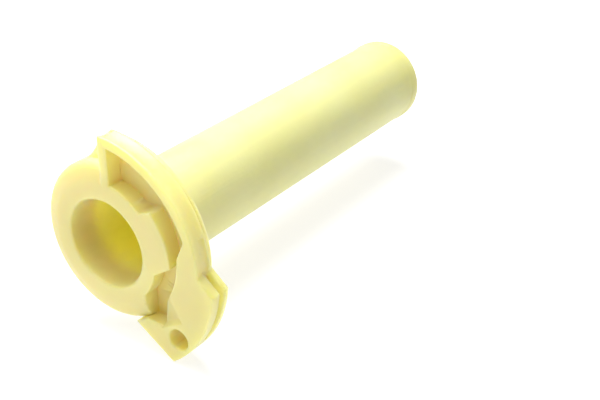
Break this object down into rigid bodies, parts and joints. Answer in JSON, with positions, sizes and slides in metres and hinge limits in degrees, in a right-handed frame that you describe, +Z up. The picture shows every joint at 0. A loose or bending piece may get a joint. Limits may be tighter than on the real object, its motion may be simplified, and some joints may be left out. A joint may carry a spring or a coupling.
{
  "type": "motorcycle throttle tube",
  "caption": "Moulded throttle tube: a closed sleeve for the handlebar end with a cored cable drum, and a lug with a slot and a hole for the cable's barrel nipple.",
  "frame": {"origin": "centre of the bore's mouth, on the drum's front face", "axes": "+X along the bore to the closed outboard end, +Z up, +Y forward; the lug points down and back, towards -Y and -Z"},
  "size_m": [0.128, 0.0522, 0.0539],
  "materials": {
    "nylon": "natural nylon: waxy satin, slightly translucent, cream yellow"
  },
  "bodies": {
    "root": {"grip_sleeve": "nylon", "cable_drum": "nylon"}
  },
  "joints": []
}
